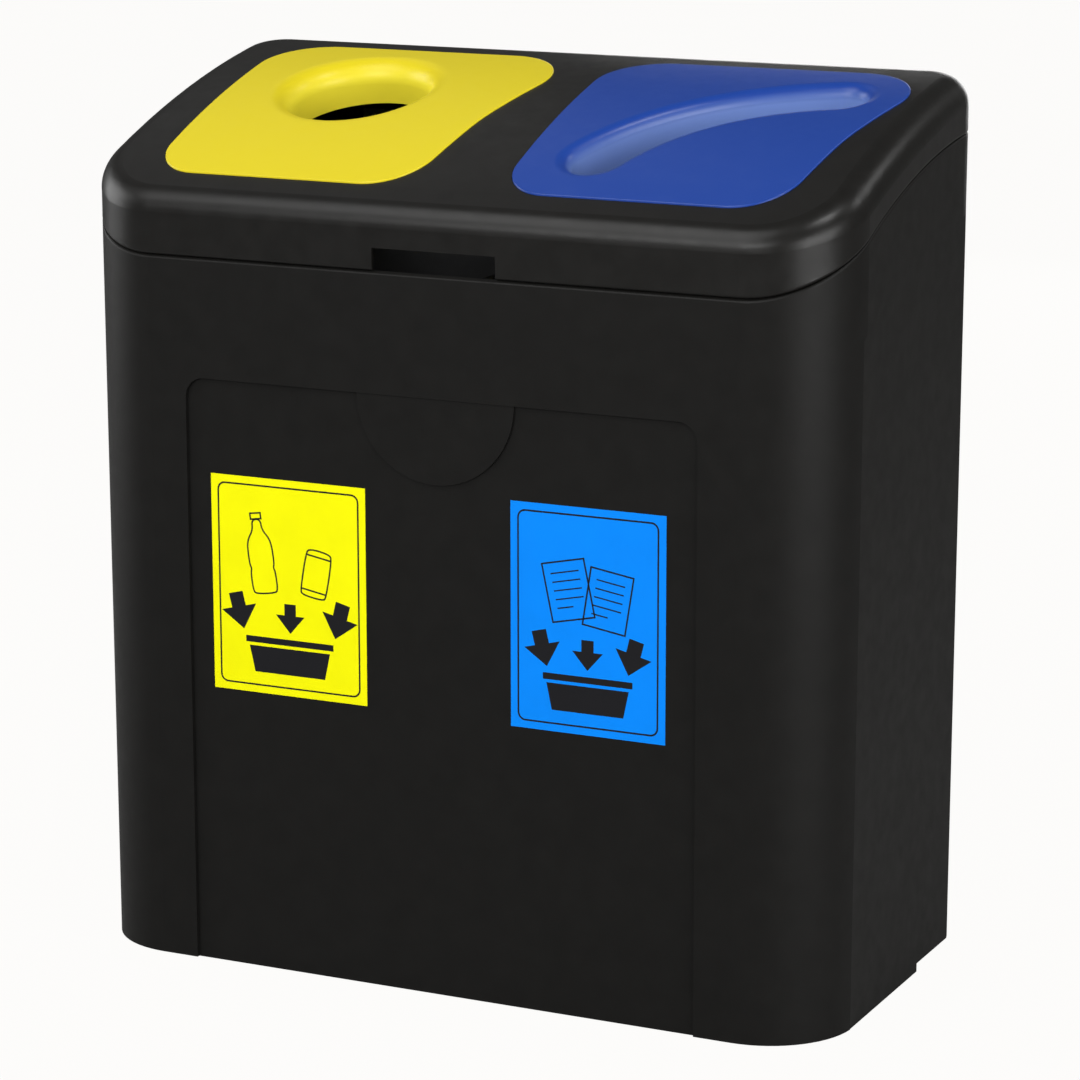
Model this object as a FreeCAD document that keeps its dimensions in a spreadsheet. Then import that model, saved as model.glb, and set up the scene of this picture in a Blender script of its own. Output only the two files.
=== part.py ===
import FreeCAD, Part
import math
import os
import re
import Sketcher

V = FreeCAD.Vector
X_AXIS, Y_AXIS, Z_AXIS = V(1, 0, 0), V(0, 1, 0), V(0, 0, 1)

doc = FreeCAD.newDocument("double_bin")

# Driving dimensions in millimetres and degrees.
# X runs across the bin, the front faces -Y, Z is up and the floor is z = 0.
SIZES = {
    # body, measured at the floor
    "width": 757, "depth": 372, "front_corner": 85, "back_corner": 44,
    "draft": 0.126, "wall": 4, "floor_raise": 8, "skirt_short": 118,
    "step_in": 19, "step_low": 299, "step_high": 345, "rim_round": 2,
    # parting line between body and lid: part of a large cylinder that lies across the bin
    "lid_back": 56, "seam_back_slope": 2, "seam_radius": 760, "lid_gap": 0.4,
    # lid
    "height": 842, "crown_back_slope": 7.2, "crown_radius": 1190,
    "lid_edge": 26, "lid_wall": 4, "lid_rim_round": 2.8, "notch_width": 123, "notch_height": 22,
    # recesses in the front and in both sides
    "panel_side": 121.5, "panel_drop": 110.6, "panel_depth": 3.5, "panel_corner": 19,
    "tongue_radius": 79, "side_depth": 0.8, "side_front": 78, "side_drop": 75,
    # outline of a coloured insert, seen from above
    "insert_left": 55.5, "insert_right": 15, "insert_gap": 29.5, "insert_front": 34.5, "insert_back": 48,
    "lean_left": 10.5, "lean_right": 51.5, "lean_waist": 36.5, "waist_shift": -18.25,
    "round_left_front": 46, "round_right_front": 55, "round_waist": 350,
    "round_right_back": 65, "round_left_back": 60,
    # section of the inserts and their seat in the lid
    "insert_thick": 3.5, "insert_sunk": 2, "insert_fit": 0.4, "ledge": 14, "insert_round": 1.4,
    "peg_radius": 2.5, "peg_length": 8, "peg_fit": 0.3, "peg_inset": 7, "peg_front": -26.25, "peg_back": -46.25,
    "clip_radius": 6.5, "clip_thick": 1, "clip_fit": 0.05,
    # round chute and curved slot, placed from the middle of their insert
    "hole_x": -29.2, "hole_y": 36, "hole_radius": 66, "hole_round": 20, "hole_length": 43,
    "slot_x": -1.3, "slot_y": 3.5, "slot_radius": 248, "slot_end": 78.4, "slot_turn": 41.4,
    "slot_width": 50, "slot_round": 13.3, "slot_length": 42,
    # two loose liners
    "liner_side": 28.5, "liner_middle": 26, "liner_front": 21.5, "liner_back": 20, "liner_drop": 21.6,
    "liner_draft": 1, "liner_corner": 45, "liner_wall": 2.5, "liner_rim": 9, "liner_rim_thick": 4,
    "grip_width": 100, "grip_height": 26, "grip_drop": 48,
    # rear hinges
    "hinge_side": 146.5, "leaf_width": 64, "leaf_thick": 2.5, "leaf_body": 34, "leaf_lid": 25,
    "knuckle_radius": 6, "knuckle_gap": 0.5, "pin_radius": 3, "pin_fit": 0.05, "pin_head": 4.2,
    "pin_head_thick": 1.5, "hinge_stand": 0.2,
    "screw_radius": 2, "screw_fit": 0.2, "screw_head": 4, "screw_head_thick": 2.2,
    "screw_pitch": 44, "screw_drop_body": 22, "screw_rise_lid": 16,
    "plate_thick": 2, "plate_height": 14, "nut_flats": 7, "nut_thick": 3.2,
    # rubber feet
    "foot_side": 62.5, "foot_back": 58, "foot_radius": 18, "foot_bore": 5.5, "foot_bore_depth": 4.5,
    # labels, placed from the upper corners of the front recess
    "label_thick": 0.4, "label_left_inset": 23.5, "label_left_drop": 89, "label_left_width": 161,
    "label_left_height": 205, "label_right_inset": 30.5, "label_right_drop": 86,
    "label_right_width": 152, "label_right_height": 209,
}

# Values that several pieces share, worked out from the driving dimensions.
SHARED = {
    # curves
    "seam_back": "height - lid_back",
    "half_back": "depth / 2 + tan(draft) * (height - lid_back)",
    "seam_y": "depth / 2 + seam_radius * sin(seam_back_slope)",
    "seam_z": "seam_back - seam_radius * cos(seam_back_slope)",
    "crown_y": "depth / 2 + crown_radius * sin(crown_back_slope)",
    "crown_z": "height - crown_radius * cos(crown_back_slope)",
    # body
    "wide": "width + 60",
    "floor_top": "floor_raise + wall",
    "rim_front": "seam_z + sqrt(pow(seam_radius; 2) - pow(seam_y + depth / 2; 2))",
    "panel_top": "rim_front - panel_drop",
    "panel_half": "width / 2 - panel_side",
    "label_left_x": "label_left_inset + label_left_width / 2 - panel_half",
    "label_left_low": "panel_top - label_left_drop - label_left_height",
    "label_right_x": "panel_half - label_right_inset - label_right_width / 2",
    "label_right_low": "panel_top - label_right_drop - label_right_height",
    "foot_x": "width / 2 - foot_side",
    "foot_y": "depth / 2 - foot_back",
    # inserts
    "insert_width": "(width - insert_left - insert_right - insert_gap) / 2",
    "insert_x": "insert_left + insert_width / 2 - width / 2",
    "insert_pitch": "insert_width + insert_gap",
    "insert_low": "insert_front - depth / 2",
    "insert_high": "depth / 2 - insert_back",
    "insert_y": "(insert_low + insert_high) / 2",
    "insert_top": "crown_radius - insert_sunk + insert_thick",
    "insert_under": "crown_radius - insert_sunk",
    "hole_slope": "asin((crown_y - insert_y - hole_y) / crown_radius)",
    "hole_wall": "hole_radius + insert_thick",
    "slot_wall": "slot_width + 2 * insert_thick",
    "slot_chord": "(insert_width - 2 * slot_end) / cos(slot_turn)",
    # liners
    "liner_width": "width / 2 - wall - liner_side - liner_middle",
    "liner_x": "(width / 2 - wall - liner_side + liner_middle) / 2",
    "liner_low": "panel_depth + wall + liner_front - depth / 2",
    "liner_high": "depth / 2 - step_in - wall - liner_back",
    "liner_depth": "liner_high - liner_low",
    "liner_y": "(liner_high + liner_low) / 2",
    "liner_height": "rim_front - liner_drop - floor_top",
    # hinges
    "hinge_x": "width / 2 - hinge_side",
    "hinge_y": "half_back + hinge_stand + knuckle_radius",
    "hinge_z": "seam_back + lid_gap / 2",
    "third": "leaf_width / 3",
    # the bin's own origin is under the middle of its length from front to back, hinges included
    "origin_shift": "-(2 * knuckle_radius + hinge_stand) / 2",
}


def make_sheet(name, cells):
    """A sheet with one named cell for each value."""
    made = doc.addObject("Spreadsheet::Sheet", name)
    for row, (alias, text) in enumerate(cells.items(), start=1):
        made.set(f"A{row}", alias)
        made.set(f"B{row}", text)
        made.setAlias(f"B{row}", alias)
        doc.recompute()
    return made


def formula(text):
    """An expression in which each named value is read from its sheet."""
    def source(match):
        word = match.group()
        if word in SIZES:
            return "Sizes." + word
        return "Shared." + word if word in SHARED else word
    return re.sub(r"[a-z_]+", source, str(text))


sizes = make_sheet("Sizes", {alias: str(number) for alias, number in SIZES.items()})
shared = make_sheet("Shared", {alias: "=" + formula(rule) for alias, rule in SHARED.items()})


def size(alias):
    """The number that a sheet holds under a name."""
    return float(sizes.get(alias) if alias in SIZES else getattr(shared, alias))


def bind(item, **rules):
    """Ties properties of an object to the sheets. Two underscores stand for a dot."""
    for name, rule in rules.items():
        item.setExpression(name.replace("__", "."), formula(rule))


def place(item, x=0, y=0, z=0, axis=None, turn=None):
    """Ties an object's place, and its turn about an axis, to the sheets."""
    if axis is not None:
        item.Placement = FreeCAD.Placement(V(), FreeCAD.Rotation(axis, 1))
        bind(item, Placement__Rotation__Angle=turn)
    bind(item, Placement__Base__x=x, Placement__Base__y=y, Placement__Base__z=z)
    return item


def box(name, x, y, z):
    """A block from its low and high side on each axis."""
    item = doc.addObject("Part::Box", name)
    bind(item, Length=f"({x[1]}) - ({x[0]})", Width=f"({y[1]}) - ({y[0]})", Height=f"({z[1]}) - ({z[0]})")
    return place(item, x[0], y[0], z[0])


def cylinder(name, radius, length, x=0, y=0, z=0, axis=None, turn=None):
    item = doc.addObject("Part::Cylinder", name)
    bind(item, Radius=radius, Height=length)
    return place(item, x, y, z, axis, turn)


def across(name, radius, y, z, x="-wide / 2", length="wide"):
    """A cylinder that lies along X."""
    return cylinder(name, radius, length, x, y, z, Y_AXIS, 90)


def seam(name, extra=0):
    """The big cylinder below the parting line, larger by extra."""
    return across(name, f"seam_radius + {extra}", "seam_y", "seam_z")


def crown(name, radius="crown_radius"):
    """The big cylinder below the top of the lid."""
    return across(name, radius, "crown_y", "crown_z")


def cut(name, base, *tools):
    item = doc.addObject("Part::Cut", name)
    item.Base = base
    item.Tool = tools[0] if len(tools) == 1 else fuse(name + "_tools", *tools)
    return item


def common(name, *shapes):
    item = doc.addObject("Part::MultiCommon", name)
    item.Shapes = list(shapes)
    return item


def fuse(name, *shapes):
    item = doc.addObject("Part::MultiFuse", name)
    item.Shapes = list(shapes)
    return item


def group(name, items):
    """Several equal, separate solids as one piece."""
    item = doc.addObject("Part::Compound", name)
    item.Links = list(items)
    return item


def fillet(name, base, radius, wanted):
    """Rounds the edges of base for which wanted(edge) holds."""
    doc.recompute()
    item = doc.addObject("Part::Fillet", name)
    item.Base = base
    item.Edges = [(n, radius, radius) for n, e in enumerate(base.Shape.Edges, start=1) if wanted(e)]
    if not item.Edges:
        raise ValueError(f"{name}: there is no edge to round")
    return item


def middle(edge):
    """The point halfway along an edge."""
    return edge.valueAt((edge.FirstParameter + edge.LastParameter) / 2)


def from_axis(point, name):
    """How far a point lies from the axis of the seam or of the crown."""
    return math.hypot(point.y - size(name + "_y"), point.z - size(name + "_z"))


def near(a, b, tolerance=0.05):
    return abs(a - b) < tolerance


# ------------------------------------------------------------------ drafted forms of body and lid
def rounded_plan(sketch, inset):
    """A closed outline with large front corners and smaller back corners, inset from the outside."""
    half, back = size("width") / 2 - inset, size("depth") / 2 - inset
    front_r, back_r = size("front_corner") - inset, size("back_corner") - inset
    corners = [
        (V(half - front_r, front_r - back, 0), front_r, 270),
        (V(half - back_r, back - back_r, 0), back_r, 0),
        (V(back_r - half, back - back_r, 0), back_r, 90),
        (V(front_r - half, front_r - back, 0), front_r, 180),
    ]
    arcs = []
    for centre, radius, start in corners:
        circle = Part.Circle(centre, Z_AXIS, radius)
        arcs.append(Part.ArcOfCircle(circle, math.radians(start), math.radians(start + 90)))
    for number, arc in enumerate(arcs):
        following = arcs[(number + 1) % len(arcs)]
        sketch.addGeometry(arc)
        sketch.addGeometry(Part.LineSegment(arc.EndPoint, following.StartPoint))
    for number in range(0, 8, 2):
        sketch.addConstraint(Sketcher.Constraint("Tangent", number, 2, number + 1, 1))
        sketch.addConstraint(Sketcher.Constraint("Tangent", number + 1, 2, (number + 2) % 8, 1))
    for line, kind in ((1, "Vertical"), (3, "Horizontal"), (5, "Vertical"), (7, "Horizontal")):
        sketch.addConstraint(Sketcher.Constraint(kind, line))
    sketch.addConstraint(Sketcher.Constraint("Equal", 0, 6))
    sketch.addConstraint(Sketcher.Constraint("Equal", 2, 4))
    return half, back, front_r, back_r


def drafted_form(name, inset):
    """A tall block with the bin's outline, inset by a wall, that widens upwards with the draft."""
    body = doc.addObject("PartDesign::Body", name)
    sketch = body.newObject("Sketcher::SketchObject", name + "_plan")
    plane = [f for f in body.Origin.OriginFeatures if f.Role == "XY_Plane"][0]
    sketch.AttachmentSupport = [(plane, "")]
    sketch.MapMode = "FlatFace"
    start = size(inset) if inset else 0
    half, back, front_r, back_r = rounded_plan(sketch, start)
    outside = inset if inset else "0"
    rules = (
        (Sketcher.Constraint("Radius", 0, front_r), f"front_corner - {outside}"),
        (Sketcher.Constraint("Radius", 2, back_r), f"back_corner - {outside}"),
        (Sketcher.Constraint("DistanceX", -1, 1, 1, 1, half), f"width / 2 - {outside}"),
        (Sketcher.Constraint("DistanceX", 5, 1, -1, 1, half), f"width / 2 - {outside}"),
        (Sketcher.Constraint("DistanceY", -1, 1, 3, 1, back), f"depth / 2 - {outside}"),
        (Sketcher.Constraint("DistanceY", 7, 1, -1, 1, back), f"depth / 2 - {outside}"),
    )
    for constraint, rule in rules:
        index = sketch.addConstraint(constraint)
        sketch.setExpression(f"Constraints[{index}]", formula(rule))
    pad = body.newObject("PartDesign::Pad", name + "_pad")
    pad.Profile = sketch
    bind(pad, Length="height + 30", TaperAngle="draft")
    sketch.Visibility = False
    return body


def step_wedge(name, inset):
    """What is missing behind the lower back wall, with a sloped top. inset moves it into the bin."""
    item = doc.addObject("Part::Wedge", name)
    bind(item, Xmin="-wide / 2", Xmax="wide / 2", X2min="-wide / 2", X2max="wide / 2")
    bind(item, Ymin=f"depth / 2 - step_in - {inset}", Ymax=f"depth / 2 - {inset} + step_in")
    bind(item, Zmin=-1, Z2min=-1, Zmax=f"step_low + {inset} / 2")
    bind(item, Z2max=f"step_high + {inset} / 2 + step_high - step_low")
    return item


def front_block(name, half, low, high, inset):
    """A block let into the front face, which leans with the draft."""
    item = doc.addObject("Part::Box", name)
    bind(item, Length=f"2 * ({half})", Width=f"panel_depth + {inset} + 20", Height=f"({high}) - ({low})")
    return place(item, f"-({half})", f"-depth / 2 - 20 - tan(draft) * ({low})", low, X_AXIS, "draft")


def make_body_shell():
    outside = common("body_outside", drafted_form("body_form", ""), seam("body_seam"))
    inside = common("body_inside", drafted_form("cavity_form", "wall"), box(
        "cavity_range", ("-wide / 2", "wide / 2"), ("-depth", "depth"), ("floor_top", "height")))
    panel_wall = front_block("panel_wall", "panel_half + wall", -1, "panel_top + wall", "wall")
    cavity = cut("cavity", inside, panel_wall, step_wedge("step_wall", "wall"))
    under = box("under_floor", ("-width / 2 + wall", "width / 2 - wall"),
                ("-depth / 2 + wall + panel_depth", "depth / 2 - wall - step_in"), (-1, "floor_raise"))
    under_round = fillet("under_floor_round", under, size("front_corner") - size("wall"), is_front_upright)
    rear_gap = box("rear_gap", ("-wide / 2", "wide / 2"), ("depth / 2 - skirt_short", "depth"), (-1, "floor_raise"))
    panel = front_block("panel_block", "panel_half", -1, "panel_top", 0)
    panel_round = fillet("panel_rounded", panel, size("panel_corner"), is_panel_corner)
    tongue = cylinder("tongue", "tongue_radius", "depth / 2", 0, 0, "panel_top", X_AXIS, 90)
    front_recess = cut("front_recess", panel_round, tongue)
    shell = cut("body_walls", outside, cavity, under_round, rear_gap, step_wedge("step_outside", 0),
                front_recess, side_recess("side_recess_right", 1), side_recess("side_recess_left", -1),
                *holes_for_hinge("body"), *foot_holes())
    return fillet("body_shell", shell, size("rim_round"), is_outer_rim)


def is_front_upright(edge):
    """An upright edge at the front of a block."""
    return near(edge.BoundBox.YLength, 0) and near(edge.BoundBox.XLength, 0) and middle(edge).y < 0


def is_panel_corner(edge):
    """A level edge that runs into the front, at the top of the recess."""
    return edge.BoundBox.YLength > size("panel_depth") and middle(edge).z > size("panel_top") - 1


def is_outer_rim(edge, extra=0):
    """An edge of the parting line on the outside of the body, or of the lid at extra above it."""
    point = middle(edge)
    half = size("width") / 2 + math.tan(math.radians(size("draft"))) * point.z
    deep = size("depth") / 2 + math.tan(math.radians(size("draft"))) * point.z
    on_side = near(abs(point.x), half, 0.3) or near(abs(point.y), deep, 0.3)
    on_seam = near(from_axis(point, "seam"), size("seam_radius") + extra)
    return on_seam and (on_side or is_outer_corner(point))


def is_outer_corner(point):
    """Whether a point of the rim lies on one of the four outer corners."""
    grown = math.tan(math.radians(size("draft"))) * point.z
    radius = size("front_corner") if point.y < 0 else size("back_corner")
    away_x = abs(point.x) - (size("width") / 2 - radius)
    away_y = abs(point.y) - (size("depth") / 2 - radius)
    return away_x > 0 and away_y > 0 and near(math.hypot(away_x, away_y), radius + grown, 1.3)


def side_recess(name, side):
    """A shallow panel in one side, open at the back and below, whose top follows the parting line."""
    face = "width / 2 - side_depth"
    low_x, high_x = (face, "wide / 2") if side > 0 else ("-wide / 2", f"-({face})")
    block = box(name + "_block", (low_x, high_x), ("side_front - depth / 2", "depth"), (-1, "height"))
    return common(name, block, seam(name + "_top", "-side_drop"))


def foot_holes():
    """Pilot holes for the screws of the feet."""
    return [cylinder(f"foot_hole_{n}", "screw_radius", "wall + 2", f"{side} * foot_x", "foot_y",
                     "floor_raise - 1") for n, side in enumerate((-1, 1))]


# ------------------------------------------------------------------ lid
def make_lid_shell():
    skin = cut("lid_block", common("lid_skin", drafted_form("lid_form", ""), crown("lid_crown")),
               seam("lid_seam", "lid_gap"))
    topped = fillet("lid_topped", skin, size("lid_edge"), lambda e: on_crown(e, "crown_radius", 0))
    outside = fillet("lid_outside", topped, size("lid_rim_round"), lambda e: is_outer_rim(e, size("lid_gap")))
    core = common("lid_core_block", drafted_form("lid_core_form", "lid_wall"),
                  crown("lid_core_crown", "crown_radius - lid_wall"))
    inside = fillet("lid_inside", core, size("lid_edge") - size("lid_wall"),
                    lambda e: on_crown(e, "crown_radius", -size("lid_wall")))
    notch = box("notch", ("-notch_width / 2", "notch_width / 2"), ("-depth", "-depth / 2 + 20"), (
        "0", "rim_front + notch_height + lid_gap"))
    seats = [insert_seat(f"seat_{n}", n) for n in (0, 1)]
    openings = [insert_prism(f"seat_opening_{n}", n, -size("ledge")) for n in (0, 1)]
    pegs = [peg_stack(f"peg_hole_{n}", n, "peg_radius + peg_fit", "insert_under - lid_wall - 5", "lid_wall + 6")
            for n in (0, 1)]
    return cut("lid_shell", outside, inside, notch, *seats, *openings, *pegs, *holes_for_hinge("lid"))


def on_crown(edge, radius, extra):
    """Whether an edge lies on the crown's cylinder."""
    return near(from_axis(middle(edge), "crown"), size(radius) + extra)


def corner_arcs(points):
    """A closed wire through corner points, each rounded with its own radius."""
    pieces, ends = [], []
    for number, (corner, radius) in enumerate(points):
        before, after = points[number - 1][0], points[(number + 1) % len(points)][0]
        back_way, on_way = (before - corner).normalize(), (after - corner).normalize()
        half_angle = back_way.getAngle(on_way) / 2
        reach, bisector = radius / math.tan(half_angle), (back_way + on_way).normalize()
        start, end = corner + back_way * reach, corner + on_way * reach
        centre = corner + bisector * (radius / math.sin(half_angle))
        pieces.append(Part.Arc(start, centre - bisector * radius, end).toShape())
        ends.append((start, end))
    for number, (start, end) in enumerate(ends):
        following = ends[(number + 1) % len(ends)][0]
        if (following - end).Length > 1e-6:
            pieces.append(Part.makeLine(end, following))
    return Part.Wire(Part.__sortEdges__(pieces))


def insert_wire():
    """The outline that both inserts share, seen from above, about the insert's own middle."""
    half, front, back = size("insert_width") / 2, size("insert_low"), size("insert_high")
    return corner_arcs([
        (V(size("lean_left") - half, front, 0), size("round_left_front")),
        (V(half - size("lean_right"), front, 0), size("round_right_front")),
        (V(half - size("lean_waist"), size("insert_y") + size("waist_shift"), 0), size("round_waist")),
        (V(half, back, 0), size("round_right_back")),
        (V(-half, back, 0), size("round_left_back")),
    ])


def upright(name, wire, number, length="height"):
    """A flat outline made into an upright block, at the place of insert 0 or 1."""
    flat = doc.addObject("Part::Feature", name + "_outline")
    flat.Shape = Part.Face(wire)
    item = doc.addObject("Part::Extrusion", name)
    item.Base = flat
    item.DirMode = "Custom"
    item.Dir = Z_AXIS
    item.Solid = True
    bind(item, LengthFwd=length)
    return place(item, f"insert_x + {number} * insert_pitch", 0, "height / 2")


def insert_prism(name, number, grow):
    wire = insert_wire()
    return upright(name, wire.makeOffset2D(grow) if grow else wire, number)


def insert_seat(name, number):
    """The shallow seat of an insert in the top of the lid."""
    return cut(name, insert_prism(name + "_block", number, size("insert_fit")),
               crown(name + "_floor", "insert_under"))


def peg_spots():
    """Where the pegs of an insert stand: (x from its middle, y) near the middle of each side."""
    return (
        ("peg_front", "insert_low + peg_inset"),
        ("peg_back", "insert_high - peg_inset"),
        ("lean_left / 2 + peg_inset - insert_width / 2", "insert_y"),
        ("insert_width / 2 - lean_waist - peg_inset - 1", "insert_y + waist_shift"),
    )


def peg_stack(name, number, radius, low, length):
    """Four equal cylinders on the pegs' axes, which point at the crown's axis."""
    made = []
    for index, (x, y) in enumerate(peg_spots()):
        slope = f"asin((crown_y - ({y})) / crown_radius)"
        made.append(cylinder(f"{name}_{index}", radius, length, f"insert_x + {number} * insert_pitch + {x}",
                             f"crown_y - ({low}) * sin({slope})", f"crown_z + ({low}) * cos({slope})",
                             X_AXIS, slope))
    return group(name, made)


# ------------------------------------------------------------------ coloured inserts
def insert_plate(name, number):
    """The curved plate of an insert with its four pegs."""
    plate = cut(name + "_plate", common(name + "_slab", insert_prism(name + "_block", number, 0),
                                        crown(name + "_top", "insert_top")),
                crown(name + "_under", "insert_under"))
    return plate


def make_round_insert(name):
    """The insert with a round chute whose mouth is widely rounded."""
    number = 0
    x = f"insert_x + {number} * insert_pitch + hole_x"

    def tube(part, radius, low, length):
        return cylinder(part, radius, length, x, f"crown_y - ({low}) * sin(hole_slope)",
                        f"crown_z + ({low}) * cos(hole_slope)", X_AXIS, "hole_slope")

    boss = common(name + "_boss", tube(name + "_tube", "hole_wall", "insert_top - hole_length", "hole_length + 20"),
                  crown(name + "_boss_top", "insert_top"))
    solid = fuse(name + "_solid", insert_plate(name, number), boss)
    under = fillet(name + "_under_round", solid, size("hole_round") - size("insert_thick"),
                   lambda e: on_hole(e, "hole_wall") and near(from_axis(middle(e), "crown"), size("insert_under")))
    bored = cut(name + "_bored", under, tube(name + "_bore", "hole_radius", "insert_top - hole_length - 5",
                                              "hole_length + 30"))
    mouth = fillet(name + "_mouth", bored, size("hole_round"),
                   lambda e: on_hole(e, "hole_radius") and near(from_axis(middle(e), "crown"), size("insert_top")))
    return finish_insert(name, number, mouth)


def on_hole(edge, radius):
    """Whether an edge lies on a cylinder about the chute's axis."""
    slope = math.radians(size("hole_slope"))
    centre = V(size("insert_x") + size("hole_x"), size("crown_y"), size("crown_z"))
    axis = V(0, -math.sin(slope), math.cos(slope))
    return near(middle(edge).distanceToLine(centre, axis), size(radius))


def slot_wire(width):
    """The curved slot's outline from above, as a band along an arc with round ends."""
    radius, half_chord = size("slot_radius"), size("slot_chord") / 2
    reach = math.asin(half_chord / radius)
    lift = radius * math.cos(reach)

    def at(r, angle):
        return V(r * math.sin(angle), r * math.cos(angle) - lift, 0)

    inner, outer = radius - width / 2, radius + width / 2
    left, right = at(radius, -reach), at(radius, reach)
    edges = [
        Part.Arc(at(outer, -reach), at(outer, 0), at(outer, reach)),
        Part.Arc(at(outer, reach), right + V(math.cos(reach), -math.sin(reach), 0) * (width / 2), at(inner, reach)),
        Part.Arc(at(inner, reach), at(inner, 0), at(inner, -reach)),
        Part.Arc(at(inner, -reach), left + V(-math.cos(reach), -math.sin(reach), 0) * (width / 2), at(outer, -reach)),
    ]
    wire = Part.Wire([edge.toShape() for edge in edges])
    wire.rotate(V(), Z_AXIS, size("slot_turn"))
    wire.translate(V(size("slot_x"), size("insert_y") + size("slot_y"), 0))
    return wire


def make_slot_insert(name):
    """The insert with a long curved slot whose mouth is rounded."""
    number = 1
    shell = cut(name + "_boss", common(name + "_boss_high", upright(name + "_boss_block", slot_wire(
        size("slot_wall")), number), crown(name + "_boss_top", "insert_top")),
        crown(name + "_boss_low", "insert_top - slot_length"))
    solid = fuse(name + "_solid", insert_plate(name, number), shell)
    under = fillet(name + "_under_round", solid, size("slot_round") - size("insert_thick"),
                   lambda e: on_slot(e, "slot_wall") and near(from_axis(middle(e), "crown"), size("insert_under")))
    bored = cut(name + "_bored", under, upright(name + "_bore", slot_wire(size("slot_width")), number))
    mouth = fillet(name + "_mouth", bored, size("slot_round"),
                   lambda e: on_slot(e, "slot_width") and near(from_axis(middle(e), "crown"), size("insert_top")))
    return finish_insert(name, number, mouth)


def on_slot(edge, width):
    """Whether an edge stands on the slot's outline, seen from above."""
    point = middle(edge) - V(size("insert_x") + size("insert_pitch"), 0, 0)
    flat = Part.Vertex(V(point.x, point.y, 0))
    return slot_wire(size(width)).distToShape(flat)[0] < 0.05


def finish_insert(name, number, base):
    """Rounds the outer edge of an insert and adds its pegs."""
    edge_wire = insert_wire()
    shift = size("insert_x") + number * size("insert_pitch")

    def is_outer(edge):
        point = middle(edge) - V(shift, 0, 0)
        flat = Part.Vertex(V(point.x, point.y, 0))
        return near(from_axis(middle(edge), "crown"), size("insert_top")) and edge_wire.distToShape(flat)[0] < 0.05

    rounded = fillet(name + "_rounded", base, size("insert_round"), is_outer)
    pegs = peg_stack(name + "_pegs", number, "peg_radius", "insert_under - peg_length", "peg_length + 1")
    return fuse(name, rounded, *pegs.Links)


def make_clips(name, number):
    """Push-on clips that hold an insert's pegs below the lid."""
    top = "crown_radius - lid_wall - clip_fit"
    outer = peg_stack(name + "_disc", number, "clip_radius", f"{top} - clip_thick", "clip_thick")
    holes = peg_stack(name + "_hole", number, "peg_radius + clip_fit", f"{top} - clip_thick - 1", "clip_thick + 2")
    made = [cut(f"{name}_{n}", disc, hole) for n, (disc, hole) in enumerate(zip(outer.Links, holes.Links))]
    return group(name, made)


# ------------------------------------------------------------------ liners
def liner_block(name, grow_x, grow_y, low, length, radius, x):
    """A rounded block for the liners, which widens upwards with the liners' draft."""
    body = doc.addObject("PartDesign::Body", name)
    sketch = body.newObject("Sketcher::SketchObject", name + "_plan")
    plane = [f for f in body.Origin.OriginFeatures if f.Role == "XY_Plane"][0]
    sketch.AttachmentSupport = [(plane, "")]
    sketch.MapMode = "FlatFace"
    half_x, half_y, r = size("liner_width") / 2, size("liner_depth") / 2, size("liner_corner")
    centres = [(half_x - r, r - half_y, 270), (half_x - r, half_y - r, 0), (r - half_x, half_y - r, 90),
               (r - half_x, r - half_y, 180)]
    arcs = [Part.ArcOfCircle(Part.Circle(V(cx, cy, 0), Z_AXIS, r), math.radians(a), math.radians(a + 90))
            for cx, cy, a in centres]
    for number, arc in enumerate(arcs):
        sketch.addGeometry(arc)
        sketch.addGeometry(Part.LineSegment(arc.EndPoint, arcs[(number + 1) % 4].StartPoint))
    for number in range(0, 8, 2):
        sketch.addConstraint(Sketcher.Constraint("Tangent", number, 2, number + 1, 1))
        sketch.addConstraint(Sketcher.Constraint("Tangent", number + 1, 2, (number + 2) % 8, 1))
        if number:
            sketch.addConstraint(Sketcher.Constraint("Equal", 0, number))
    for line, kind in ((1, "Vertical"), (3, "Horizontal"), (5, "Vertical"), (7, "Horizontal")):
        sketch.addConstraint(Sketcher.Constraint(kind, line))
    rules = (
        (Sketcher.Constraint("Radius", 0, r), radius),
        (Sketcher.Constraint("DistanceX", -1, 1, 1, 1, half_x), f"liner_width / 2 + {grow_x}"),
        (Sketcher.Constraint("DistanceX", 5, 1, -1, 1, half_x), f"liner_width / 2 + {grow_x}"),
        (Sketcher.Constraint("DistanceY", -1, 1, 3, 1, half_y), f"liner_depth / 2 + {grow_y}"),
        (Sketcher.Constraint("DistanceY", 7, 1, -1, 1, half_y), f"liner_depth / 2 + {grow_y}"),
    )
    for constraint, rule in rules:
        index = sketch.addConstraint(constraint)
        sketch.setExpression(f"Constraints[{index}]", formula(rule))
    pad = body.newObject("PartDesign::Pad", name + "_pad")
    pad.Profile = sketch
    bind(pad, Length=length, TaperAngle="liner_draft")
    return place(body, x, "liner_y", low)


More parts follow.
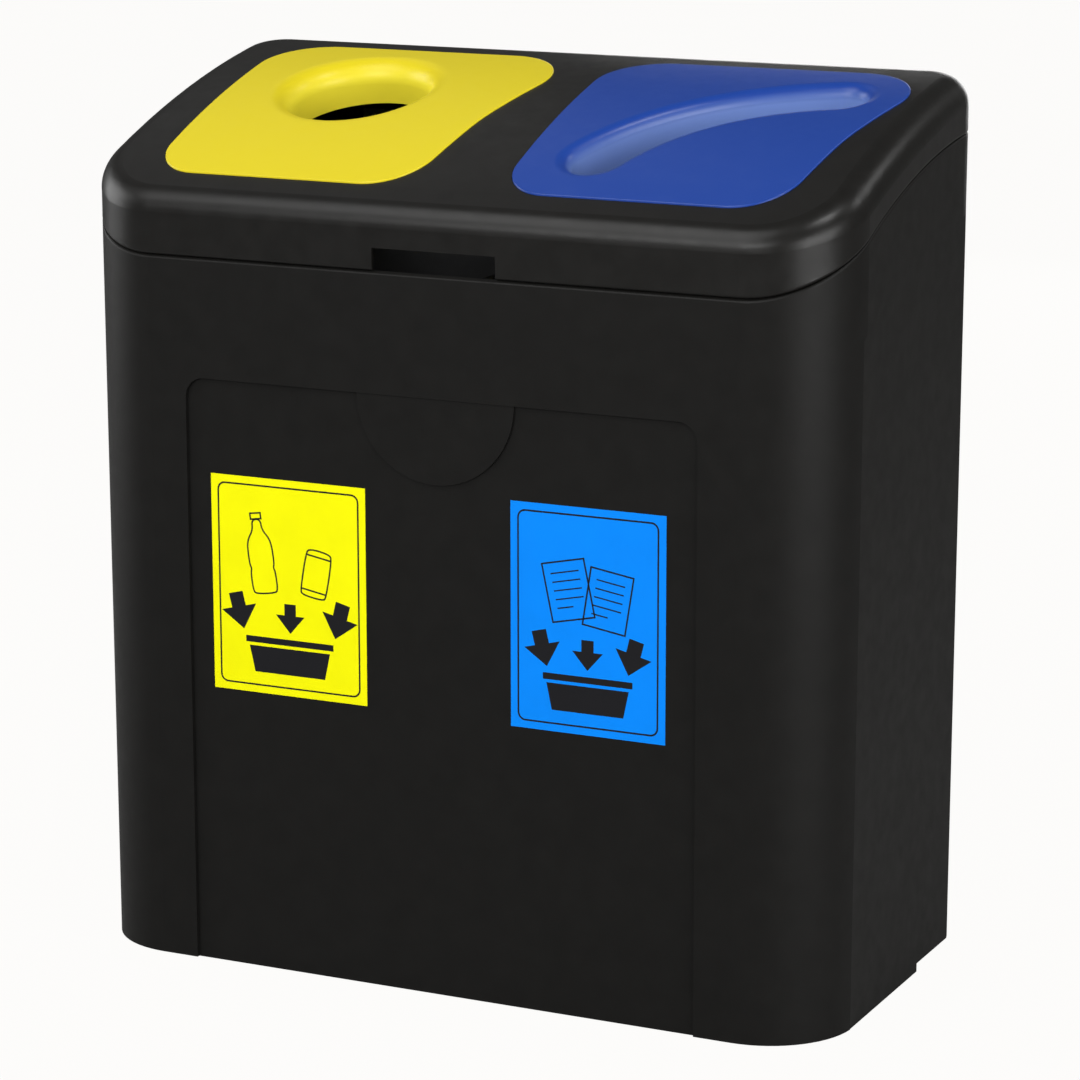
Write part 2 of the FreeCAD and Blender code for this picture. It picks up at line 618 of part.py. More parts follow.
def make_liner(name, side):
    """An open liner with a turned-out rim and a grip slot in each side."""
    x = f"{side} * liner_x"
    grown = "tan(liner_draft) * (liner_height - liner_rim_thick)"
    outside = liner_block(name + "_outside", "0", "0", "floor_top", "liner_height", "liner_corner", x)
    rim = liner_block(name + "_rim", f"{grown} + liner_rim", f"{grown} + liner_rim",
                      "floor_top + liner_height - liner_rim_thick", "liner_rim_thick",
                      f"liner_corner + {grown} + liner_rim", x)
    inside = liner_block(name + "_inside", "-liner_wall", "-liner_wall", "floor_top + liner_wall",
                         "liner_height + 10", "liner_corner - liner_wall", x)
    top = "floor_top + liner_height - grip_drop"
    grip = box(name + "_grip", (f"{x} - liner_width", f"{x} + liner_width"),
               ("liner_y - grip_width / 2", "liner_y + grip_width / 2"), (f"{top} - grip_height", top))
    grip_round = fillet(name + "_grip_round", grip, size("grip_height") / 2 - 0.5, is_along_x)
    return cut(name, fuse(name + "_block", outside, rim), inside, grip_round)


def is_along_x(edge):
    """An edge that runs along X."""
    return near(edge.BoundBox.YLength, 0) and near(edge.BoundBox.ZLength, 0)


# ------------------------------------------------------------------ hinges
SIDES = (("left", -1), ("right", 1))


def screw_spots(part):
    """The (x, z) places of the screws of both leaves on the body or on the lid."""
    z = "hinge_z - screw_drop_body" if part == "body" else "hinge_z + screw_rise_lid"
    return [(f"{side} * hinge_x + {end} * screw_pitch / 2", z) for _, side in SIDES for end in (-1, 1)]


def along_y(name, radius, low, high, x, z):
    """A cylinder that lies along Y."""
    return cylinder(name, radius, f"({high}) - ({low})", x, high, z, X_AXIS, 90)


def holes_for_hinge(part):
    wall = "wall" if part == "body" else "lid_wall"
    return [along_y(f"{part}_hinge_hole_{n}", "screw_radius + screw_fit", f"half_back - {wall} - 3",
                    "half_back + 3", x, z) for n, (x, z) in enumerate(screw_spots(part))]


def knuckle_parts(part):
    """The stretches of the barrel that belong to a leaf, as (start, end) along X."""
    if part == "lid":
        return [("third / -2 + knuckle_gap / 2", "third / 2 - knuckle_gap / 2")]
    return [("-leaf_width / 2", "third / -2 - knuckle_gap / 2"), ("third / 2 + knuckle_gap / 2", "leaf_width / 2")]


def make_leaf(name, part, side):
    """One leaf of a hinge with its knuckles, on the back of the body or of the lid."""
    x = f"{side} * hinge_x"
    face = "half_back + hinge_stand"
    rows = [n for n in screw_spots(part) if n[0].startswith(x)]
    free = "knuckle_radius + knuckle_gap"
    if part == "body":
        plate = box(name + "_plate", (f"{x} - leaf_width / 2", f"{x} + leaf_width / 2"),
                    (face, f"{face} + leaf_thick"), ("hinge_z - leaf_body", f"hinge_z - {free}"))
    else:
        plate = box(name + "_plate", (f"{x} - leaf_width / 2", f"{x} + leaf_width / 2"),
                    (face, f"{face} + leaf_thick"), (f"hinge_z + {free}", "hinge_z + leaf_lid"))
    solids = [plate]
    for n, (start, end) in enumerate(knuckle_parts(part)):
        solids.append(across(f"{name}_knuckle_{n}", "knuckle_radius", "hinge_y", "hinge_z",
                             f"{x} + {start}", f"({end}) - ({start})"))
        span = ("hinge_z - leaf_body", "hinge_z") if part == "body" else ("hinge_z", "hinge_z + leaf_lid")
        solids.append(box(f"{name}_neck_{n}", (f"{x} + {start}", f"{x} + {end}"),
                          (face, f"{face} + leaf_thick"), span))
    bore_fit = "pin_fit" if part == "lid" else "0"
    bore = across(name + "_bore", f"pin_radius + {bore_fit}", "hinge_y", "hinge_z", f"{x} - leaf_width", "2 * leaf_width")
    holes = [along_y(f"{name}_hole_{n}", "screw_radius + screw_fit", f"{face} - 1", f"{face} + leaf_thick + 1", sx, sz)
             for n, (sx, sz) in enumerate(rows)]
    return cut(name, fuse(name + "_block", *solids), bore, *holes)


def make_pin(name, side):
    """A hinge pin with a flat head at its outer end."""
    x = f"{side} * hinge_x"
    shank = across(name + "_shank", "pin_radius", "hinge_y", "hinge_z", f"{x} - leaf_width / 2 - 1", "leaf_width + 2")
    outer = f"{x} + leaf_width / 2" if side > 0 else f"{x} - leaf_width / 2 - pin_head_thick"
    head = across(name + "_head", "pin_head", "hinge_y", "hinge_z", outer, "pin_head_thick")
    return fuse(name, shank, head)


def make_screws(name, part):
    """Pan head screws through a leaf, the wall, the plate and the nut."""
    wall = "wall" if part == "body" else "lid_wall"
    face = "half_back + hinge_stand + leaf_thick"
    tip = f"half_back - {wall} - plate_thick - nut_thick - 1.5"
    made = []
    for n, (x, z) in enumerate(screw_spots(part)):
        shank = along_y(f"{name}_shank_{n}", "screw_radius", tip, f"{face} + 0.5", x, z)
        head = along_y(f"{name}_head_{n}", "screw_head", face, f"{face} + screw_head_thick", x, z)
        domed = fillet(f"{name}_domed_{n}", head, size("screw_head_thick") * 0.45, is_head_rim)
        made.append(fuse(f"{name}_{n}", shank, domed))
    return group(name, made)


def is_head_rim(edge):
    """The round edge at the free side of a screw head."""
    return edge.BoundBox.XLength > 1 and near(edge.BoundBox.YLength, 0) and middle(edge).y > (
        size("half_back") + size("hinge_stand") + size("leaf_thick") + 1)


def make_plates(name, part):
    """Steel plates inside the wall, one behind each leaf."""
    wall = "wall" if part == "body" else "lid_wall"
    made = []
    for n, (_, side) in enumerate(SIDES):
        z = screw_spots(part)[0][1]
        x = f"{side} * hinge_x"
        blank = box(f"{name}_blank_{n}", (f"{x} - leaf_width / 2", f"{x} + leaf_width / 2"),
                    (f"half_back - {wall} - plate_thick - hinge_stand", f"half_back - {wall} - hinge_stand"),
                    (f"{z} - plate_height / 2", f"{z} + plate_height / 2"))
        holes = [along_y(f"{name}_hole_{n}_{m}", "screw_radius + screw_fit", f"half_back - {wall} - plate_thick - 2",
                         "half_back", sx, sz) for m, (sx, sz) in enumerate(screw_spots(part)[2 * n:2 * n + 2])]
        made.append(cut(f"{name}_{n}", blank, *holes))
    return group(name, made)


def make_nuts(name, part):
    """Hexagon nuts behind the plates."""
    wall = "wall" if part == "body" else "lid_wall"
    high = f"half_back - {wall} - plate_thick - hinge_stand"
    made = []
    for n, (x, z) in enumerate(screw_spots(part)):
        prism = doc.addObject("Part::Prism", f"{name}_hexagon_{n}")
        bind(prism, Polygon=6, Circumradius="nut_flats / sqrt(3)", Height="nut_thick")
        place(prism, x, high, z, X_AXIS, 90)
        hole = along_y(f"{name}_hole_{n}", "screw_radius", f"{high} - nut_thick - 1", f"{high} + 1", x, z)
        made.append(cut(f"{name}_{n}", prism, hole))
    return group(name, made)


# ------------------------------------------------------------------ feet, labels
def make_feet(name):
    """Rubber feet under the raised back of the floor."""
    made = []
    for n, side in enumerate((-1, 1)):
        x = f"{side} * foot_x"
        block = cylinder(f"{name}_block_{n}", "foot_radius", "floor_raise", x, "foot_y")
        bore = cylinder(f"{name}_bore_{n}", "foot_bore", "foot_bore_depth + 1", x, "foot_y", -1)
        hole = cylinder(f"{name}_hole_{n}", "screw_radius + screw_fit", "floor_raise + 2", x, "foot_y", -1)
        made.append(cut(f"{name}_{n}", block, bore, hole))
    return group(name, made)


def make_foot_screws(name):
    """Screws that hold the feet from below."""
    made = []
    for n, side in enumerate((-1, 1)):
        x = f"{side} * foot_x"
        head = cylinder(f"{name}_head_{n}", "screw_head", "screw_head_thick", x, "foot_y",
                        "foot_bore_depth - screw_head_thick")
        shank = cylinder(f"{name}_shank_{n}", "screw_radius", "floor_top - 0.5 - foot_bore_depth + 1", x, "foot_y",
                         "foot_bore_depth - 1")
        made.append(fuse(f"{name}_{n}", head, shank))
    return group(name, made)


def make_label(name, which):
    """A thin label on the floor of the front recess."""
    item = doc.addObject("Part::Box", name + "_film")
    bind(item, Length=f"label_{which}_width", Width="label_thick", Height=f"label_{which}_height")
    x = f"label_{which}_x - label_{which}_width / 2"
    y = f"-depth / 2 + panel_depth - label_thick - tan(draft) * label_{which}_low"
    return group(name, [place(item, x, y, f"label_{which}_low", X_AXIS, "draft")])


PIECES = {
    "body_shell": make_body_shell(),
    "lid_shell": make_lid_shell(),
    "insert_round": make_round_insert("insert_round"),
    "insert_slot": make_slot_insert("insert_slot"),
    "insert_clips_round": make_clips("insert_clips_round", 0),
    "insert_clips_slot": make_clips("insert_clips_slot", 1),
    "liner_left": make_liner("liner_left", -1),
    "liner_right": make_liner("liner_right", 1),
    "rear_feet": make_feet("rear_feet"),
    "foot_screws": make_foot_screws("foot_screws"),
    "label_left": make_label("label_left", "left"),
    "label_right": make_label("label_right", "right"),
}
for part in ("body", "lid"):
    PIECES[f"hinge_screws_{part}"] = make_screws(f"hinge_screws_{part}", part)
    PIECES[f"hinge_plates_{part}"] = make_plates(f"hinge_plates_{part}", part)
    PIECES[f"hinge_nuts_{part}"] = make_nuts(f"hinge_nuts_{part}", part)
    for side_name, side in SIDES:
        leaf = f"hinge_leaf_{part}_{side_name}"
        PIECES[leaf] = make_leaf(leaf, part, side)
for side_name, side in SIDES:
    PIECES[f"hinge_pin_{side_name}"] = make_pin(f"hinge_pin_{side_name}", side)

# The origin is on the floor under the middle of the whole bin, its hinges included.
for piece in PIECES.values():
    bind(piece, Placement__Base__y="origin_shift")

doc.recompute()

# ------------------------------------------------------------------ check and write
for item in doc.Objects:
    if "Invalid" in item.State or "Error" in item.State:
        raise RuntimeError(f"{item.Name} failed: {item.State}")
os.makedirs("parts", exist_ok=True)
for node, item in PIECES.items():
    item.Label = node
    shape = item.Shape
    if shape.isNull() or not shape.isValid() or not shape.Solids:
        raise RuntimeError(f"{node} has no valid solid")
    shape.exportStep(f"parts/{node}.step")
    box_of = shape.BoundBox
    print(node, len(shape.Solids), "solids", round(shape.Volume / 1000, 2), "cm3",
          [round(v, 2) for v in (box_of.XMin, box_of.XMax, box_of.YMin, box_of.YMax, box_of.ZMin, box_of.ZMax)])
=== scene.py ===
import bpy
import bmesh
import math
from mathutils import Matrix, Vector


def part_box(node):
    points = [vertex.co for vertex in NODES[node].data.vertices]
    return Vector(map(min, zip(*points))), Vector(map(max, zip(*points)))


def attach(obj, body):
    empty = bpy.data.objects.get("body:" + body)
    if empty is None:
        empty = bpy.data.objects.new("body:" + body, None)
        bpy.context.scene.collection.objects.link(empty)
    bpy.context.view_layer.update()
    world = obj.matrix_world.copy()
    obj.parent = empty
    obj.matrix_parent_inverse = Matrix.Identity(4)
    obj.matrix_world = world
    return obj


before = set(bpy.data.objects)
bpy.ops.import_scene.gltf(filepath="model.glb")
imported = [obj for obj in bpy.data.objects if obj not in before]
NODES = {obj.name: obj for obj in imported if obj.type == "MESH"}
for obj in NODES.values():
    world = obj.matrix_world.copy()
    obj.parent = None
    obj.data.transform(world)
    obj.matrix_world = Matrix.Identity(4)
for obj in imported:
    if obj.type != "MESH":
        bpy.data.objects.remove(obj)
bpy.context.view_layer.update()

MM = 0.001

# Noise scales, per metre, that the moulded plastics share.
MOTTLE, WEAR, WAVES, GRAIN, PITS = 38, 60, 9, 1500, 620


# ------------------------------------------------------------------ materials
class Finish:
    """A node material around one Principled shader, with helpers for what varies over the surface."""

    def __init__(self, name, colour, roughness, **sockets):
        self.material = bpy.data.materials.new(name)
        self.material.use_nodes = True
        self.tree = self.material.node_tree
        self.shader = self.tree.nodes["Principled BSDF"]
        self.shader.inputs["Base Color"].default_value = (*colour, 1)
        self.shader.inputs["Roughness"].default_value = roughness
        for socket, value in sockets.items():
            self.shader.inputs[socket.replace("_", " ")].default_value = value
        self.colour = colour
        self.place = self.node("ShaderNodeTexCoord").outputs["Object"]
        self.normal = None

    def node(self, kind, **values):
        made = self.tree.nodes.new(kind)
        for key, value in values.items():
            setattr(made, key, value)
        return made

    def link(self, output, target):
        self.tree.links.new(output, target)

    def stretched(self, scale):
        """The place on the piece, scaled differently along each axis."""
        mapping = self.node("ShaderNodeMapping")
        mapping.inputs["Scale"].default_value = scale
        self.link(self.place, mapping.inputs["Vector"])
        return mapping.outputs["Vector"]

    def noise(self, scale, detail=2.0, rough=0.5, place=None):
        made = self.node("ShaderNodeTexNoise")
        made.inputs["Scale"].default_value = scale
        made.inputs["Detail"].default_value = detail
        made.inputs["Roughness"].default_value = rough
        self.link(place or self.place, made.inputs["Vector"])
        return made.outputs["Fac"]

    def cells(self, scale):
        made = self.node("ShaderNodeTexVoronoi")
        made.inputs["Scale"].default_value = scale
        self.link(self.place, made.inputs["Vector"])
        return made.outputs["Distance"]

    def spread(self, value, low, high, start=0.3, end=0.7):
        """value between start and end, mapped to low and high."""
        made = self.node("ShaderNodeMapRange")
        ends = (("From Min", start), ("From Max", end), ("To Min", low), ("To Max", high))
        for socket, number in ends:
            made.inputs[socket].default_value = number
        self.link(value, made.inputs["Value"])
        return made.outputs["Result"]

    def compute(self, operation, first, second=None):
        """The sum, product and so on of two values, of which the second may be a number."""
        made = self.node("ShaderNodeMath", operation=operation)
        self.link(first, made.inputs[0])
        if isinstance(second, float):
            made.inputs[1].default_value = second
        elif second is not None:
            self.link(second, made.inputs[1])
        return made.outputs["Value"]

    def fade_colour(self, value, start, first, end, last):
        """Goes from colour first to colour last, as value goes from start to end."""
        ramp = self.node("ShaderNodeValToRGB")
        for element, place, colour in zip(ramp.color_ramp.elements, (start, end), (first, last)):
            element.position = place
            element.color = (*colour, 1)
        self.link(value, ramp.inputs["Fac"])
        self.link(ramp.outputs["Color"], self.shader.inputs["Base Color"])

    def vary_colour(self, value, dark, light, start=0.3, end=0.7):
        """The base colour times dark to light, as value goes from start to end."""
        first, last = [[channel * factor for channel in self.colour] for factor in (dark, light)]
        self.fade_colour(value, start, first, end, last)

    def vary_roughness(self, value, low, high):
        self.link(self.spread(value, low, high), self.shader.inputs["Roughness"])

    def bump(self, height, distance, strength=1.0):
        """Adds a relief of that height in metres to those before it."""
        made = self.node("ShaderNodeBump")
        made.inputs["Strength"].default_value = strength
        made.inputs["Distance"].default_value = distance
        self.link(height, made.inputs["Height"])
        if self.normal is not None:
            self.link(self.normal, made.inputs["Normal"])
        self.normal = made.outputs["Normal"]
        self.link(self.normal, self.shader.inputs["Normal"])


def moulded_plastic(name, colour, roughness, level, grain):
    """Moulded polyethylene: fine grain, faint unevenness of the wall and of the colour."""
    made = Finish(name, colour, roughness, Specular_IOR_Level=level)
    made.vary_colour(made.noise(MOTTLE, 4, 0.6), 0.88, 1.12)
    made.vary_roughness(made.noise(WEAR, 3), roughness - 0.035, roughness + 0.035)
    made.bump(made.noise(WAVES, 1), 0.00025, 0.5)
    made.bump(made.noise(GRAIN, 2), grain, 0.6)
    made.bump(made.cells(PITS), grain, 0.35)
    return made.material


# The top of the lid and of the inserts is part of a cylinder along X. Its surface goes through the
# lid's upper back edge, where it slopes down to the front at CROWN_SLOPE. Metres, in the row's frame.
CROWN_RADIUS = 1.190
CROWN_SLOPE = math.radians(7.2)
BACK_EDGE_Y, BACK_EDGE_Z = 0.1799, 0.842
CROWN_AXIS = (("Y", BACK_EDGE_Y + CROWN_RADIUS * math.sin(CROWN_SLOPE)),
              ("Z", BACK_EDGE_Z - CROWN_RADIUS * math.cos(CROWN_SLOPE)))
# Painted highlight: the plastic is painted paler below the rounded lips of the openings, standing in for
# the light their walls catch, from nothing at the first of these depths under the crown to the full
# highlight colour at the second.
PAINTED_HIGHLIGHT_DEPTHS = (2 * MM, 12 * MM)


def insert_plastic(name, colour, painted_highlight_colour, roughness, level):
    """Semi-gloss moulded plastic with a painted highlight: paler where the walls of the opening go down
    from the plate.
    """
    made = Finish(name, colour, roughness, Specular_IOR_Level=level)
    place = made.node("ShaderNodeSeparateXYZ")
    made.link(made.place, place.inputs["Vector"])
    squares = []
    for axis, centre in CROWN_AXIS:
        away = made.compute("SUBTRACT", place.outputs[axis], centre)
        squares.append(made.compute("MULTIPLY", away, away))
    radius = made.compute("SQRT", made.compute("ADD", *squares))
    upper, lower = [CROWN_RADIUS - depth for depth in PAINTED_HIGHLIGHT_DEPTHS]
    # painted highlight: 1 deep in the opening's walls, 0 on the plate
    painted_highlight = made.spread(radius, 1, 0, lower, upper)
    mottle = made.spread(made.noise(MOTTLE, 4, 0.6), -0.016, 0.016)
    made.fade_colour(made.compute("ADD", painted_highlight, mottle), 0, colour, 1, painted_highlight_colour)
    made.vary_roughness(made.noise(WEAR, 3), roughness - 0.03, roughness + 0.03)
    made.bump(made.noise(WAVES, 1), 0.00015, 0.5)
    made.bump(made.noise(GRAIN, 2), 0.00003, 0.6)
    return made.material


def metal(name, colour, roughness):
    """Zinc plated steel with fine drawn lines along X."""
    made = Finish(name, colour, roughness, Metallic=1.0)
    lines = made.noise(1, 3, place=made.stretched((60, 2600, 2600)))
    made.vary_colour(made.noise(260, 3), 0.86, 1.08)
    made.vary_roughness(lines, roughness - 0.08, roughness + 0.1)
    made.bump(lines, 0.00003)
    return made.material


def rubber(name, colour):
    made = Finish(name, colour, 0.75, Specular_IOR_Level=0.25)
    made.vary_colour(made.noise(180, 3), 0.8, 1.25)
    made.bump(made.noise(900, 3), 0.0001)
    return made.material


def printed_film(name, colour):
    """Self-adhesive printed film, which shows a trace of the grain below it."""
    made = Finish(name, colour, 0.5, Specular_IOR_Level=0.12)
    made.vary_colour(made.noise(30, 3), 0.97, 1.02)
    made.vary_roughness(made.noise(90, 2), 0.46, 0.55)
    made.bump(made.noise(700, 2), 0.00003)
    return made.material


BLACK_BODY = moulded_plastic("body_black", (0.0070, 0.0067, 0.0061), 0.48, 0.17, 0.00006)
BLACK_LID = moulded_plastic("lid_black", (0.0080, 0.0076, 0.0069), 0.34, 0.28, 0.00005)
# The second colour of each insert is a painted highlight on the walls of its opening.
YELLOW = insert_plastic("insert_yellow_plastic", (0.70, 0.575, 0.014), (0.88, 0.76, 0.045), 0.34, 0.25)
BLUE = insert_plastic("insert_blue_plastic", (0.011, 0.049, 0.285), (0.160, 0.255, 0.600), 0.32, 0.3)
LINER = moulded_plastic("liner_grey", (0.045, 0.045, 0.047), 0.58, 0.3, 0.00012)
STEEL = metal("zinc_plated_steel", (0.62, 0.62, 0.60), 0.34)
RUBBER = rubber("foot_rubber", (0.014, 0.014, 0.014))
FILM_YELLOW = printed_film("film_yellow", (1.0, 0.98, 0.0))
FILM_BLUE = printed_film("film_blue", (0.0, 0.26, 1.0))
INK = printed_film("black_ink", (0.012, 0.012, 0.014))

# All other nodes are steel.
FINISHES = {
    "body_shell": BLACK_BODY, "lid_shell": BLACK_LID, "insert_round": YELLOW, "insert_slot": BLUE,
    "liner_left": LINER, "liner_right": LINER, "rear_feet": RUBBER,
    "label_left": FILM_YELLOW, "label_right": FILM_BLUE,
}
for name, node in NODES.items():
    for place in node.material_slots:
        place.material = FINISHES.get(name, STEEL)


# ------------------------------------------------------------------ pictograms on the labels
class Print:
    """Thin black shapes on a label, in millimetres from the label's lower left corner."""

    THICKNESS = 0.10 * MM

    def __init__(self, label):
        self.low, self.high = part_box(label)
        mesh = NODES[label].data
        front = min(v.co.y for v in mesh.vertices if v.co.z < (self.low.z + self.high.z) / 2)
        self.lean = (self.low.y - front) / (self.high.z - self.low.z)
        self.front = front
        self.width = (self.high.x - self.low.x) / MM
        self.height = (self.high.z - self.low.z) / MM
        self.form = bmesh.new()

    def at(self, x, y):
        rise = y * MM
        return self.low.x + x * MM, self.front + self.lean * rise, self.low.z + rise

    def fill(self, points):
        self.form.faces.new([self.form.verts.new(self.at(x, y)) for x, y in points])

    def line(self, points, width, closed=True):
        """A line of even width through points."""
        points = [Vector(p) for p in points]
        last = len(points) - 1
        sides = []
        for n, point in enumerate(points):
            before = point - points[n - 1] if closed or n > 0 else points[1] - point
            onwards = points[(n + 1) % len(points)] - point
            after = onwards if closed or n < last else point - points[n - 1]
            before, after = before.normalized(), after.normalized()
            along = (before + after).normalized()
            normal = Vector((-along.y, along.x))
            reach = width / 2 / max(0.4, normal.dot(Vector((-before.y, before.x))))
            sides.append((point + normal * reach, point - normal * reach))
        count = len(points) if closed else last
        for n in range(count):
            (a, b), (c, d) = sides[n], sides[(n + 1) % len(points)]
            self.fill([a, c, d, b])

    def finish(self, name):
        made = bmesh.ops.extrude_face_region(self.form, geom=self.form.faces[:])
        moved = [v for v in made["geom"] if isinstance(v, bmesh.types.BMVert)]
        bmesh.ops.translate(self.form, verts=moved, vec=(0, -self.THICKNESS, 0))
        bmesh.ops.recalc_face_normals(self.form, faces=self.form.faces[:])
        mesh = bpy.data.meshes.new(name)
        self.form.to_mesh(mesh)
        self.form.free()
        mesh.materials.append(INK)
        piece = bpy.data.objects.new(name, mesh)
        bpy.context.scene.collection.objects.link(piece)
        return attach(piece, "body")


def rounded_box(low_x, low_y, high_x, high_y, radius, steps=6):
    """A rectangle with round corners, anticlockwise."""
    points = []
    corners = ((high_x - radius, low_y + radius, 270), (high_x - radius, high_y - radius, 0),
               (low_x + radius, high_y - radius, 90), (low_x + radius, low_y + radius, 180))
    for x, y, start in corners:
        for n in range(steps + 1):
            angle = math.radians(start + 90 * n / steps)
            points.append((x + radius * math.cos(angle), y + radius * math.sin(angle)))
    return points


def softened(points, rounds=2):
    """A closed outline with its corners cut off again and again, which makes them smooth."""
    for _ in range(rounds):
        cut = []
        for n, (x, y) in enumerate(points):
            next_x, next_y = points[(n + 1) % len(points)]
            cut.append((x * 0.75 + next_x * 0.25, y * 0.75 + next_y * 0.25))
            cut.append((x * 0.25 + next_x * 0.75, y * 0.25 + next_y * 0.75))
        points = cut
    return points


def mirrored(half):
    """An outline from its right half, which is given from the bottom up."""
    return half + [(-x, y) for x, y in reversed(half)]


def moved(points, x, y, turn=0, size=1.0):
    c, s = math.cos(math.radians(turn)) * size, math.sin(math.radians(turn)) * size
    return [(x + px * c - py * s, y + px * s + py * c) for px, py in points]


# Outlines in millimetres, each around its own foot or middle.
ARROW = mirrored([(6, 28), (6, 17), (15, 17), (0, 0)])
BOTTLE = mirrored([(10, 0), (13, 3), (13, 20), (11.5, 24), (13, 28), (13, 44), (11, 52), (5, 60),
                   (4.5, 70)])
CAP = [(-5.5, 70.5), (5.5, 70.5), (5.5, 76), (-5.5, 76)]
CAN = mirrored([(11, 0), (13.5, 4), (13.5, 40), (10.5, 45)])
CAN_RIMS = (6, 39)
SHEET = [(-21, -27), (21, -27), (21, 27), (-21, 27)]
SHEET_ROWS, SHEET_ROW_PITCH = 5, 8
BORDER_INSET, BORDER_ROUND = 7.5, 7
THIN, BOLD = 1.5, 1.6
BIN_FOOT, BIN_HEIGHT = 20, 25
RIM_LOW, RIM_HIGH = 28, 34
ARROW_FOOT, ARROW_TURN = 60, 14


def draw_border(art):
    right, top = art.width - BORDER_INSET, art.height - BORDER_INSET
    art.line(rounded_box(BORDER_INSET, BORDER_INSET, right, top, BORDER_ROUND), BOLD)


def draw_bin(art, width):
    """A solid bin with a wide rim, at the label's middle."""
    for low_width, low, high_width, high in ((0.80, 0, 0.92, BIN_HEIGHT), (1, RIM_LOW, 1, RIM_HIGH)):
        half_low, half_high = width * low_width / 2, width * high_width / 2
        shape = [(-half_low, low), (half_low, low), (half_high, high), (-half_high, high)]
        art.fill(moved(shape, art.width / 2, BIN_FOOT))


def draw_arrows(art, reach, size, shift=0):
    """Three arrows down into the bin, the outer two larger and turned inwards."""
    for x, turn, scale in ((-reach, ARROW_TURN, size), (reach, -ARROW_TURN, size), (shift, 0, 1.0)):
        art.fill(moved(ARROW, art.width / 2 + x, ARROW_FOOT, turn, scale))


def draw_bottle_label():
    """A bottle and a can that go down into a bin."""
    art = Print("label_left")
    draw_border(art)
    bottle_at = (art.width / 2 - 24, 96, 8)
    can_at = (art.width / 2 + 25, 97, -10)
    art.line(moved(softened(BOTTLE), *bottle_at), THIN)
    art.line(moved(CAP, *bottle_at), THIN)
    art.line(moved(softened(CAN), *can_at), THIN)
    for height in CAN_RIMS:
        art.line(moved([(-12.5, height), (12.5, height)], *can_at), THIN, False)
    draw_arrows(art, 48, 1.25, 1)
    draw_bin(art, 92)
    art.finish("label_left_print")


def draw_paper_label():
    """Two written sheets that go down into a bin. The last row of each is short."""
    art = Print("label_right")
    draw_border(art)
    for x, y, turn in ((-19, 132, 12), (20, 126, -9)):
        sheet_at = (art.width / 2 + x, y, turn)
        art.line(moved(SHEET, *sheet_at), THIN)
        for row in range(SHEET_ROWS):
            height = 17 - SHEET_ROW_PITCH * row
            end = 14 if row < SHEET_ROWS - 1 else 2
            art.line(moved([(-14, height), (end, height)], *sheet_at), THIN * 0.8, False)
    draw_arrows(art, 40, 1.2)
    draw_bin(art, 88)
    art.finish("label_right_print")


draw_bottle_label()
draw_paper_label()


# ------------------------------------------------------------------ floor, light, camera
# How much of the floor shows as plain white to each kind of ray. The rest is its lit surface.
WHITE_SHARES = (("Is Camera Ray", 0.97), ("Is Glossy Ray", 0.05), ("Is Transmission Ray", 0.05))
FLOOR_REACH = 30
WORLD_STRENGTH = 0.1

# Each lamp: name, place, the point that it faces, width, height, radiance of its surface.
LAMPS = (
    ("main_light", (-0.9, -1.7, 3.2), (0, -0.1, 0.8), 2.2, 2.0, 3.2),
    ("front_light", (-0.5, -4.4, 2.4), (0, 0, 0.5), 3.2, 1.6, 6.0),
    ("back_light", (-1.8, 1.7, 3.1), (0, 0, 0.8), 1.6, 1.4, 0.25),
    ("top_spot", (1.6, -0.3, 3.1), (0.2, 0, 0.8), 0.4, 0.4, 38),
    ("right_light", (3.0, -1.3, 1.1), (0.3, -0.1, 0.5), 2.4, 1.6, 6),
    ("rim_light", (2.4, 2.0, 3.0), (0.3, 0, 0.7), 0.8, 0.8, 6),
    ("rear_light", (-0.5, 4.2, 1.1), (0, 0, 0.4), 2.6, 1.6, 3.5),
    ("left_light", (-3.2, -0.3, 1.35), (-0.3, 0, 0.6), 2.0, 2.0, 4),
)

# The camera of the photo: place in metres, degrees that it looks down and to the left, lens in mm.
CAMERA_PLACE = (1.57110, -3.28200, 1.23228)
CAMERA_DOWN, CAMERA_TURN = 12.9785, 25.3876
CAMERA_LENS, CAMERA_SENSOR = 131.29, 36


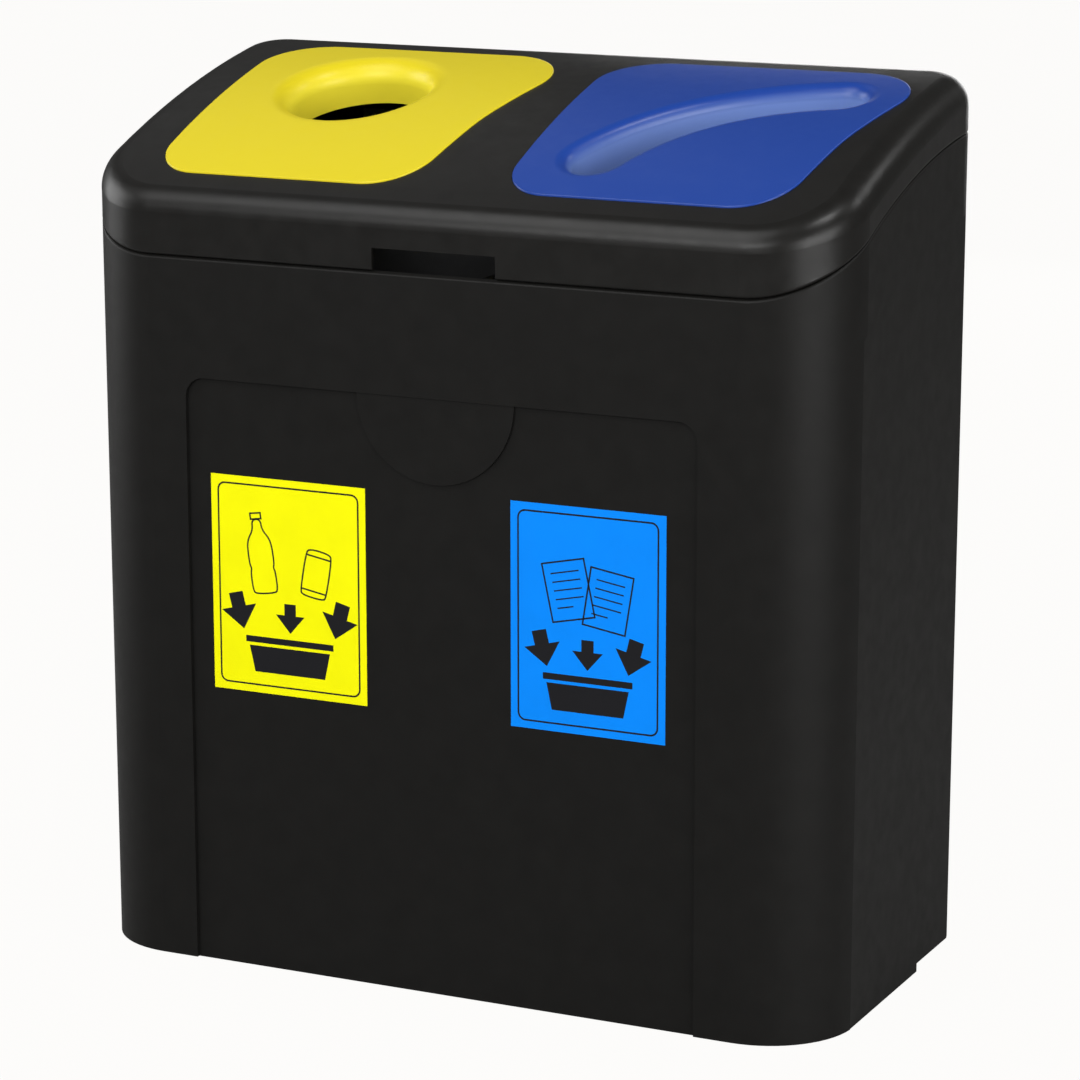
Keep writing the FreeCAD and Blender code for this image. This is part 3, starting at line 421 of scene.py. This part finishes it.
def make_floor():
    mesh = bpy.data.meshes.new("floor")
    corners = [(x * FLOOR_REACH, y * FLOOR_REACH, 0) for x, y in ((-1, -1), (1, -1), (1, 1), (-1, 1))]
    mesh.from_pydata(corners, [], [(0, 1, 2, 3)])
    floor = bpy.data.objects.new("floor", mesh)
    bpy.context.scene.collection.objects.link(floor)
    made = Finish("floor_white", (0.30, 0.297, 0.294), 0.9, Specular_IOR_Level=0.1)
    made.vary_colour(made.noise(2, 2), 0.995, 1.005)
    glow = made.node("ShaderNodeEmission")
    glow.inputs["Color"].default_value = (1.0, 0.992, 0.98, 1)
    rays = made.node("ShaderNodeLightPath")
    shares = [made.compute("MULTIPLY", rays.outputs[ray], share) for ray, share in WHITE_SHARES]
    mix = made.node("ShaderNodeMixShader")
    made.link(made.compute("ADD", made.compute("ADD", shares[0], shares[1]), shares[2]), mix.inputs["Fac"])
    made.link(made.shader.outputs["BSDF"], mix.inputs[1])
    made.link(glow.outputs["Emission"], mix.inputs[2])
    made.link(mix.outputs["Shader"], made.tree.nodes["Material Output"].inputs["Surface"])
    mesh.materials.append(made.material)


def make_world():
    world = bpy.data.worlds.new("studio")
    bpy.context.scene.world = world
    world.use_nodes = True
    back = world.node_tree.nodes["Background"]
    back.inputs["Color"].default_value = (1.0, 0.995, 0.985, 1)
    back.inputs["Strength"].default_value = WORLD_STRENGTH


def softbox(name, place, target, width, height, radiance):
    """A rectangular lamp whose surface has that radiance."""
    lamp = bpy.data.lights.new(name, "AREA")
    lamp.shape = "RECTANGLE"
    lamp.size, lamp.size_y = width, height
    lamp.energy = radiance * math.pi * width * height
    made = bpy.data.objects.new(name, lamp)
    bpy.context.scene.collection.objects.link(made)
    made.location = place
    made.rotation_euler = (Vector(target) - Vector(place)).to_track_quat("-Z", "Y").to_euler()


def make_camera():
    camera = bpy.data.cameras.new("camera")
    camera.lens = CAMERA_LENS
    camera.sensor_width = CAMERA_SENSOR
    camera.clip_end = 200
    made = bpy.data.objects.new("camera", camera)
    bpy.context.scene.collection.objects.link(made)
    made.location = CAMERA_PLACE
    made.rotation_euler = (math.radians(90 - CAMERA_DOWN), 0, math.radians(CAMERA_TURN))
    bpy.context.scene.camera = made


make_floor()
make_world()
for lamp in LAMPS:
    softbox(*lamp)
make_camera()
bpy.context.scene.view_settings.view_transform = "Standard"
